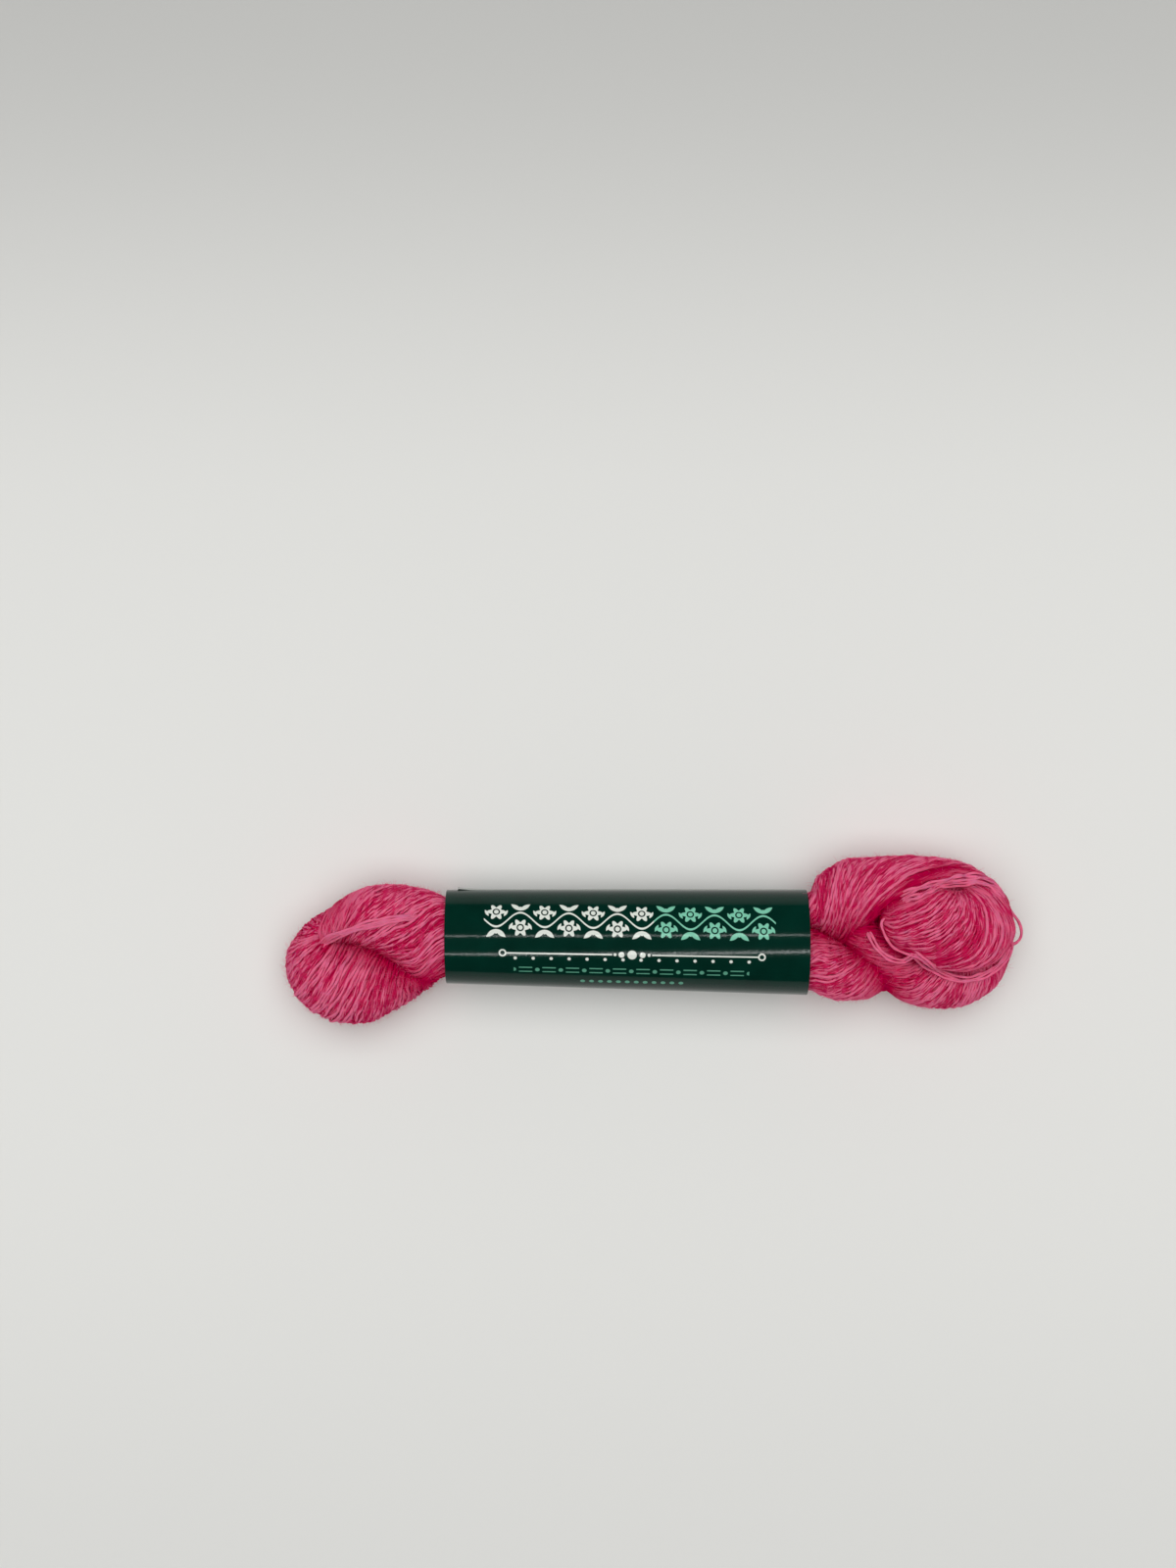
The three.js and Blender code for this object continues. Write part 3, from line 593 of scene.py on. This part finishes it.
# A hair starts on a thread and runs off along it or across it: root + run * length * t, and arches outward by
# lift * arch * t * (arch - t) and sideways by bend * length * t squared. A flyaway hair is shorter and stands up by
# rising * length * t.
def addFuzz(look):
    roots = np.vstack(hairRoots)
    roots = roots[random.choice(len(roots), look["hairs"], replace=False)]
    root, outward = roots[:, None, :3], roots[:, None, 3:]
    run = random.normal(0, 1, root.shape)
    run = unit(run - (run * outward).sum(-1, keepdims=True) * outward)
    bend = np.cross(run, outward)
    each = (len(roots), 1, 1)
    flies = random.uniform(0, 1, each) < look["flyaway"]
    stands = flies * random.uniform(*look["standing"], each)
    length = random.uniform(*look["length"], each) * (1 - look["shorter"] * stands)
    t = np.linspace(0, 1, look["steps"])[None, :, None]
    lift = look["lift"] * random.uniform(*look["lifts"], each)
    curl = random.uniform(-look["bend"], look["bend"], each)
    height = look["root"] + lift * t * (look["arch"] - t) * look["arch"] + stands * length * t * look["rising"]
    lines = (root + run * length * t * (1 - look["steeper"] * stands) + outward * height
             + bend * length * t**2 * curl)
    lines[..., 2] = np.maximum(lines[..., 2], look["lowest"])
    radius = look["radius"] * (1 - look["taper"] * t[..., 0]) * np.ones((len(roots), 1))
    shown = np.ones(radius.shape, bool)
    along = t[..., 0] * length[..., 0]
    side = np.broadcast_to(bend, lines.shape)
    return makePiece("woolFuzz", *tubes(lines, side, radius, shown, look["sides"], 1.0, along,
                                        {"tone": shown * 1.0}))


looseThreads = addLooseThreads(wool)
woolFuzz = addFuzz(fuzz)
print(f"loose strands and fuzz: done, {len(woolFuzz.data.polygons)} faces of fuzz")


# Materials

def fill(made, values):
    for key, value in values.items():
        made.inputs[key].default_value = value


def newMaterial(name, roughness, specular, colour=(1, 1, 1, 1)):
    material = bpy.data.materials.new(name)
    material.use_nodes = True
    tree = material.node_tree
    shader = tree.nodes["Principled BSDF"]
    fill(shader, {"Roughness": roughness, "Specular IOR Level": specular, "Base Color": colour})
    return material, tree, shader


def node(tree, kind, **values):
    made = tree.nodes.new("ShaderNode" + kind)
    for key, value in values.items():
        setattr(made, key, value)
    return made


def link(tree, source, target):
    tree.links.new(source, target)


# A socket gets a link from another socket, or else a number or colour of its own.
def feed(tree, value, socket):
    if isinstance(value, bpy.types.NodeSocket):
        link(tree, value, socket)
    else:
        socket.default_value = value


def mixed(tree, factor, first, second):
    mix = node(tree, "Mix", data_type="RGBA")
    for value, socket in ((factor, mix.inputs["Factor"]), (first, mix.inputs[6]), (second, mix.inputs[7])):
        feed(tree, value, socket)
    return mix.outputs[2]


def formula(tree, operation, *values):
    made = node(tree, "Math", operation=operation)
    for value, socket in zip(values, made.inputs):
        feed(tree, value, socket)
    return made.outputs[0]


def minus(tree, first, second):
    return formula(tree, "SUBTRACT", first, second)


def times(tree, first, *others):
    for other in others:
        first = formula(tree, "MULTIPLY", first, other)
    return first


# first * second + third
def plusTimes(tree, first, second, third):
    return formula(tree, "MULTIPLY_ADD", first, second, third)


def noise(tree, where, scale, detail):
    made = node(tree, "TexNoise")
    fill(made, {"Scale": scale, "Detail": detail})
    link(tree, where, made.inputs["Vector"])
    return made.outputs["Fac"]


def ramped(tree, value, stops, interpolation="LINEAR"):
    ramp = node(tree, "ValToRGB")
    ramp.color_ramp.interpolation = interpolation
    for place, _ in stops[1:-1]:
        ramp.color_ramp.elements.new(place)
    for stop, (place, colour) in zip(ramp.color_ramp.elements, stops):
        stop.position, stop.color = place, (*colour, 1)
    link(tree, value, ramp.inputs["Fac"])
    return ramp.outputs["Color"]


# The bump's two numbers are its strength and its height in metres.
def addBump(tree, shader, height, bump):
    made = node(tree, "Bump")
    fill(made, {"Strength": bump[0], "Distance": bump[1]})
    link(tree, height, made.inputs["Height"])
    link(tree, made.outputs["Normal"], shader.inputs["Normal"])


# The sheet's or the thread's own map, and its two parts.
def ownMap(tree):
    where = node(tree, "UVMap", uv_map="UVMap").outputs["UV"]
    split = node(tree, "SeparateXYZ")
    link(tree, where, split.inputs["Vector"])
    return where, split.outputs["X"], split.outputs["Y"]


merino = {
    # Thread colours from the painted shade on its sides to the painted highlight on its crown.
    "crownLight": [(0.0, (0.50, 0.0005, 0.056)), (0.40, (0.54, 0.006, 0.074)), (0.74, (0.61, 0.026, 0.114)),
              (1.0, (0.81, 0.155, 0.290))],
    "hollow": (0.47, 0.0005, 0.052, 1), "crownLightShare": 0.5, "plyShare": 0.16, "fibreShare": 0.9, "toneShare": 1.1,
    "fibresAround": 16.0, "fibresAlong": 0.9, "fibreDetail": 3.0, "plies": 3, "plyPitch": 7.0,
    "plyRelief": 0.6, "bump": (0.7, 0.00009), "roughness": 0.75,
    "glow": 0.4, "glowReach": (0.28, 0.03, 0.07),  # light that goes through the wool, for red, green and blue, in mm
}
# The core shows only in the gaps between threads, so it takes the colour of the painted shade.
plainWool = {"shadedMerino": {"roughness": 1.0, "specular": 0.0, "colour": merino["hollow"]},
             "merinoFuzz": {"roughness": 0.9, "specular": 0.0, "colour": (0.80, 0.16, 0.29, 1)}}


# Thread: its crown is painted paler than its sides, a painted highlight by half of 1 + cos(2 pi u) with u the way
# round it.
# Plies wind round it by sin(plies * 2 pi * (u + v / plyPitch)), with v the way along, as painted shade in their
# grooves and as bump.
# The tone is each thread's own random tone plus painted light by its height and lobe, creases get painted shade in
# deeper red, and fibres run along it in the colour and the bump.
def woolMaterial(name, look):
    material, tree, shader = newMaterial(name, look["roughness"], 0.0)
    tone = node(tree, "Attribute", attribute_name="tone").outputs["Fac"]
    hollow = node(tree, "Attribute", attribute_name="hollow").outputs["Fac"]
    where, u, v = ownMap(tree)
    crownLight = formula(tree, "COSINE", times(tree, u, fullTurn))
    stretch = node(tree, "Mapping")
    fill(stretch, {"Scale": (look["fibresAround"], look["fibresAlong"], 1)})
    link(tree, where, stretch.inputs["Vector"])
    fibres = noise(tree, stretch.outputs["Vector"], 1.0, look["fibreDetail"])
    plyTurn = look["plies"] * fullTurn
    ply = formula(tree, "SINE", plusTimes(tree, u, plyTurn, times(tree, v, plyTurn / look["plyPitch"])))
    height = plusTimes(tree, crownLight, look["crownLightShare"], 0.5)
    height = plusTimes(tree, ply, look["plyShare"], height)
    height = plusTimes(tree, minus(tree, fibres, 0.5), look["fibreShare"], height)
    height = plusTimes(tree, minus(tree, tone, 0.5), look["toneShare"], height)
    # The creases get the colour of the painted shade.
    colour = mixed(tree, hollow, ramped(tree, height, look["crownLight"]), look["hollow"])
    link(tree, colour, shader.inputs["Base Color"])
    addBump(tree, shader, plusTimes(tree, ply, look["plyRelief"], fibres), look["bump"])
    fill(shader, {"Subsurface Weight": look["glow"], "Subsurface Radius": look["glowReach"], "Subsurface Scale": mm})
    return material


threadWool = woolMaterial("pinkMerino", merino)
for piece in [*threadPieces, looseThreads]:
    piece.data.materials.append(threadWool)
for piece, (name, look) in zip((core, woolFuzz), plainWool.items()):
    piece.data.materials.append(newMaterial(name, **look)[0])


# The paper band: a sheet wound once round and over its own start, at middle + (half width + rise) * cos(angle)
# sideways and (half height + rise) * sin(angle) upwards. The lap lies higher by lapLift. Its free edge is cut at a
# slant and set in at the left, where its corner lifts a little.
def addBand(look):
    edge, inner = look["firstSteps"]
    along = np.concatenate([[0, edge], np.linspace(inner, 1 - inner, look["lengthSteps"]), [1 - edge, 1]])[:, None]
    around = np.concatenate([np.linspace(0, 1 - look["lastStep"], look["roundSteps"]), [1]])[None, :]
    left, right = np.array(look["left"]), np.array(look["right"])
    last = 360 + look["lapTo"][0] + along * (look["lapTo"][1] - look["lapTo"][0])
    degrees = look["lapFrom"] + around * (last - look["lapFrom"])
    lapped = smoothStep((degrees - look["lapFrom"] - look["riseAfter"]) / look["riseOver"])
    x = left[0] + look["lapInset"] * lapped + along * (right[0] - left[0] - look["lapInset"] * lapped)
    share = (x - left[0]) / (right[0] - left[0])
    _, middleY, middleZ, wide, high = (left[k] + share * (right[k] - left[k]) for k in range(len(left)))
    corner = (np.clip(1 - along / look["cornerShare"], 0, 1) ** 2
              * np.clip((degrees - look["cornerFrom"]) / look["cornerOver"], 0, 1) ** 2)
    rise = lapped * look["lapLift"] + corner * look["cornerLift"]
    angle = np.radians(degrees)
    y = middleY + np.cos(angle) * (wide + rise)
    z = middleZ + np.sin(angle) * (high + rise)
    rows, columns = y.shape
    here = np.arange(rows - 1)[:, None] * columns + np.arange(columns - 1)[None, :]
    quads = np.stack([here, here + 1, here + columns + 1, here + columns], -1).reshape(-1, 4)
    fromTop = np.radians(90 - degrees) * (wide + high) / 2
    uv = np.stack([x - left[0], fromTop], -1).reshape(-1, 2)
    piece = makePiece("paperBand", np.stack([x, y, z], -1).reshape(-1, 3), [quads], uv[quads.ravel()])
    solid = piece.modifiers.new("paper", "SOLIDIFY")
    solid.thickness = look["paper"] * mm
    solid.offset = -1
    solid.material_offset = solid.material_offset_rim = 1
    return piece


# The print on the band, on the sheet's own map: u runs along it and v round it from the top, in mm. An ornament of
# vine, leaves and rosettes turns over in every cell. Below it are a rule with dots, and rows of dashes.
prints = {
    "white": (0.72, 0.76, 0.70, 1), "mint": (0.20, 0.56, 0.40, 1), "paleMint": (0.10, 0.32, 0.22, 1),
    "colourChange": 33.84, "softEdge": 0.06, "leafEdge": 0.2,
    # the garland, with its motif drawn at a scale of 1 about the middle of a cell
    "cell": 3.92, "from": 6.4, "cells": 12, "scale": 1.17, "vineAt": 3.5, "swing": 1.05, "halfStem": 0.11,
    "halfGarland": 3.6, "rosetteAt": 1.15, "petals": 6.0, "petalReach": 0.98, "petalSwing": 0.26,
    "eye": 0.42, "halfEyeLine": 0.07, "berryAt": -1.75, "berry": 0.26,
    "leaves": [((0.62, -1.95), -38, (0.85, 0.30)), ((-0.62, -1.95), 218, (0.85, 0.30)),  # place, turn, half size
               ((1.32, 0.95), 62, (0.52, 0.18)), ((-1.32, 0.95), 118, (0.52, 0.18))],
    # the rule: its ends, beads at so far from its middle and so large, and rings past its ends
    "ruleAt": -2.0, "rule": (10.0, 50.6), "halfRule": 0.09, "ruleGap": 3.2,
    "beads": ((0.0, 0.72), (1.7, 0.45), (2.75, 0.22)), "ringPast": 0.6, "ring": 0.5, "halfRingLine": 0.1,
    "smallCell": 2.9, "smallBelow": 0.85, "small": 0.24,
    # the rows of dashes and dots
    "dashesAt": -5.0, "dashes": (11.2, 49.2), "dashCell": 3.8, "halfDash": 1.05, "dashApart": 0.42,
    "halfDashLine": 0.08, "cross": 0.34, "dotsAt": -7.6, "dots": (21.6, 39.0), "dotCell": 1.45, "dot": 0.36,
}


# 1 where the value is below the limit, with a soft edge.
def below(tree, value, limit, soft=prints["softEdge"]):
    step = node(tree, "MapRange")
    fill(step, {"From Min": limit, "From Max": limit + soft, "To Min": 1.0, "To Max": 0.0})
    link(tree, value, step.inputs["Value"])
    return step.outputs["Result"]


def most(tree, first, *others):
    for other in others:
        first = formula(tree, "MAXIMUM", first, other)
    return first


def absolute(tree, value):
    return formula(tree, "ABSOLUTE", value)


# How far a value is from a middle.
def away(tree, value, middle):
    return absolute(tree, minus(tree, value, middle))


def within(tree, value, stretch):
    return below(tree, away(tree, value, sum(stretch) / 2), (stretch[1] - stretch[0]) / 2)


# The place in its own cell, from minus half a cell to half a cell.
def inCell(tree, value, start, cell):
    moved = formula(tree, "DIVIDE", minus(tree, value, start), cell)
    return times(tree, minus(tree, formula(tree, "FRACT", moved), 0.5), cell)


def distance(tree, x, y, place):
    dx, dy = minus(tree, x, place[0]), minus(tree, y, place[1])
    return formula(tree, "SQRT", plusTimes(tree, dx, dx, times(tree, dy, dy)))


# A leaf is where x squared + |y| is below 1, with x along it and y across, in halves of its length and width.
def leaf(tree, x, y, place, turn, halves, look):
    dx, dy = minus(tree, x, place[0]), minus(tree, y, place[1])
    c, s = np.cos(np.radians(turn)), np.sin(np.radians(turn))
    length = formula(tree, "ADD", times(tree, dx, c / halves[0]), times(tree, dy, s / halves[0]))
    width = minus(tree, times(tree, dy, c / halves[1]), times(tree, dx, s / halves[1]))
    return below(tree, plusTimes(tree, length, length, absolute(tree, width)), 1.0, look["leafEdge"])


# The vine is y = -swing * cos(pi * scale * x / cell), which meets its neighbours' ends. A rosette is where the
# distance from its middle is below petalReach + petalSwing * cos(petals * angle), with a ring left out round its eye.
def garland(tree, u, v, look):
    x = times(tree, inCell(tree, u, look["from"], look["cell"]), 1 / look["scale"])
    number = formula(tree, "FLOOR", formula(tree, "DIVIDE", minus(tree, u, look["from"]), look["cell"]))
    flip = plusTimes(tree, formula(tree, "MODULO", number, 2.0), -2.0, 1.0)
    y = times(tree, minus(tree, v, look["vineAt"]), flip, 1 / look["scale"])
    wave = times(tree, x, np.pi * look["scale"] / look["cell"])
    vine = times(tree, formula(tree, "COSINE", wave), -look["swing"])
    stem = below(tree, absolute(tree, minus(tree, y, vine)), look["halfStem"])
    near = distance(tree, x, y, (0.0, look["rosetteAt"]))
    turn = formula(tree, "ARCTAN2", minus(tree, y, look["rosetteAt"]), x)
    petals = plusTimes(tree, formula(tree, "COSINE", times(tree, turn, look["petals"])), look["petalSwing"],
                       look["petalReach"])
    rosette = below(tree, formula(tree, "DIVIDE", near, petals), 1.0)
    ring = minus(tree, 1.0, below(tree, away(tree, near, look["eye"]), look["halfEyeLine"]))
    leaves = [leaf(tree, x, y, *setup, look) for setup in look["leaves"]]
    berry = below(tree, distance(tree, x, y, (0.0, look["berryAt"])), look["berry"])
    stretch = (look["from"], look["from"] + look["cells"] * look["cell"])
    return times(tree, most(tree, stem, times(tree, rosette, ring), berry, *leaves), within(tree, u, stretch),
                 below(tree, away(tree, v, look["vineAt"]), look["halfGarland"]))


def ruleAndDots(tree, u, v, look):
    start, stop = look["rule"]
    fromMiddle = away(tree, u, (start + stop) / 2)
    line = times(tree, below(tree, away(tree, v, look["ruleAt"]), look["halfRule"]), within(tree, u, look["rule"]),
                 minus(tree, 1.0, below(tree, fromMiddle, look["ruleGap"])))
    inSmall = absolute(tree, inCell(tree, u, start, look["smallCell"]))
    small = below(tree, distance(tree, inSmall, v, (0.0, look["ruleAt"] - look["smallBelow"])), look["small"])
    beads = [below(tree, distance(tree, fromMiddle, v, (place, look["ruleAt"])), radius)
             for place, radius in look["beads"]]
    fromRing = distance(tree, fromMiddle, v, ((stop - start) / 2 + look["ringPast"], look["ruleAt"]))
    rings = below(tree, away(tree, fromRing, look["ring"]), look["halfRingLine"])
    return most(tree, line, times(tree, small, within(tree, u, look["rule"])), rings, *beads)


def dashRows(tree, u, v, look):
    x = absolute(tree, inCell(tree, u, look["dashes"][0], look["dashCell"]))
    apart = away(tree, away(tree, v, look["dashesAt"]), look["dashApart"])
    dash = times(tree, below(tree, x, look["halfDash"]), below(tree, apart, look["halfDashLine"]))
    cross = below(tree, distance(tree, x, v, (look["dashCell"] / 2, look["dashesAt"])), look["cross"])
    row = times(tree, most(tree, dash, cross), within(tree, u, look["dashes"]))
    inDot = inCell(tree, u, look["dots"][0], look["dotCell"])
    dots = times(tree, below(tree, distance(tree, inDot, v, (0.0, look["dotsAt"])), look["dot"]),
                 within(tree, u, look["dots"]))
    return most(tree, row, dots)


# Laminated paper: a scale and a detail for the clouds in its green and for the grain of its surface.
paper = {
    "greens": ((0.0008, 0.014, 0.009, 1), (0.0012, 0.030, 0.020, 1)), "clouds": (0.22, 5.0), "grain": (2.2, 2.0),
    "bump": (0.5, 0.00002), "roughness": 0.1, "specular": 0.16,
    "back": {"roughness": 0.7, "specular": 0.5, "colour": (0.52, 0.53, 0.50, 1)},
}


def paperMaterial(name, look):
    material, tree, shader = newMaterial(name, look["roughness"], look["specular"])
    where, u, v = ownMap(tree)
    right = formula(tree, "GREATER_THAN", u, prints["colourChange"])
    green = mixed(tree, noise(tree, where, *look["clouds"]), *look["greens"])
    garlandColour = mixed(tree, right, prints["white"], prints["mint"])
    colour = mixed(tree, garland(tree, u, v, prints), green, garlandColour)
    colour = mixed(tree, ruleAndDots(tree, u, v, prints), colour, prints["white"])
    colour = mixed(tree, dashRows(tree, u, v, prints), colour, prints["paleMint"])
    link(tree, colour, shader.inputs["Base Color"])
    addBump(tree, shader, noise(tree, where, *look["grain"]), look["bump"])
    return material


paperBand = addBand(band)
paperBand.data.materials.append(paperMaterial("laminatedPaper", paper))
paperBand.data.materials.append(newMaterial("paperBack", **paper["back"])[0])
print("band: done")


# The table and the light

# The table's tone falls off smoothly away from the middle, as the light of the photograph does.
table = {
    "half": 1500.0, "from": -110.0, "to": 160.0, "colour": (0.80, 0.80, 0.775), "roughness": 0.9, "specular": 0.2,
    "tones": [(0.0, 0.90), (0.13, 0.95), (0.26, 0.99), (0.5, 1.0), (0.69, 0.97), (0.80, 0.87), (0.90, 0.74),
              (1.0, 0.655)],
}


def addFloor(look):
    corners = np.array([[-1, -1, 0], [1, -1, 0], [1, 1, 0], [-1, 1, 0]]) * look["half"]
    piece = makePiece("floor", corners, [np.array([[0, 1, 2, 3]])])
    material, tree, shader = newMaterial("paleTable", look["roughness"], look["specular"])
    where = node(tree, "TexCoord")
    split = node(tree, "SeparateXYZ")
    link(tree, where.outputs["Object"], split.inputs["Vector"])
    share = node(tree, "MapRange")
    fill(share, {"From Min": look["from"] * mm, "From Max": look["to"] * mm})
    link(tree, split.outputs["Y"], share.inputs["Value"])
    stops = [(place, [tone * value for value in look["colour"]]) for place, tone in look["tones"]]
    link(tree, ramped(tree, share.outputs["Result"], stops, "B_SPLINE"), shader.inputs["Base Color"])
    piece.data.materials.append(material)
    return piece


floor = addFloor(table)

# Two narrow strips of lamps give the lines of gloss on the band, and a wide soft lamp gives the light on the wool.
lamps = {
    "northStrip": {"place": (0, 89, 400), "size": (340, 9), "turn": 38, "power": 0.22, "strip": True},
    "southStrip": {"place": (0, -190, 400), "size": (400, 10), "turn": 58, "power": 0.42, "strip": True},
    "softTop": {"place": (0, 345, 2645), "size": (3060, 3220), "turn": 0, "power": 80.4, "strip": False},
}


# A lamp leans towards the middle of the table. Strips are seen only in gloss, and the soft lamp lights all but gloss.
def addLamp(name, setup):
    data = bpy.data.lights.new(name, "AREA")
    data.shape = "RECTANGLE"
    data.size, data.size_y = (mm * value for value in setup["size"])
    data.energy = setup["power"]
    lamp = bpy.data.objects.new(name, data)
    lamp.location = [mm * value for value in setup["place"]]
    lamp.rotation_euler = (-np.arctan2(setup["place"][1], setup["place"][2]), 0, np.radians(setup["turn"]))
    lamp.visible_camera, lamp.visible_glossy, lamp.visible_diffuse = False, setup["strip"], not setup["strip"]
    bpy.context.scene.collection.objects.link(lamp)


for name, setup in lamps.items():
    addLamp(name, setup)

roomTones = [(0.12, (0.72, 0.72, 0.70)), (0.5, (0.10, 0.10, 0.10))]


# The room is pale near the horizon and dim above, and isn't mirrored in the band.
def addRoom(tones):
    world = bpy.data.worlds.new("room")
    bpy.context.scene.world = world
    world.use_nodes = True
    world.cycles_visibility.glossy = False
    tree = world.node_tree
    where = node(tree, "TexCoord")
    split = node(tree, "SeparateXYZ")
    link(tree, where.outputs["Generated"], split.inputs["Vector"])
    link(tree, ramped(tree, split.outputs["Z"], tones), tree.nodes["Background"].inputs["Color"])


addRoom(roomTones)
bpy.context.scene.view_settings.view_transform = "Standard"

for piece in [core, *threadPieces, looseThreads, woolFuzz]:
    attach(piece, "root")
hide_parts("skein")
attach(paperBand, "root")
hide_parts("band")
print("light: done")
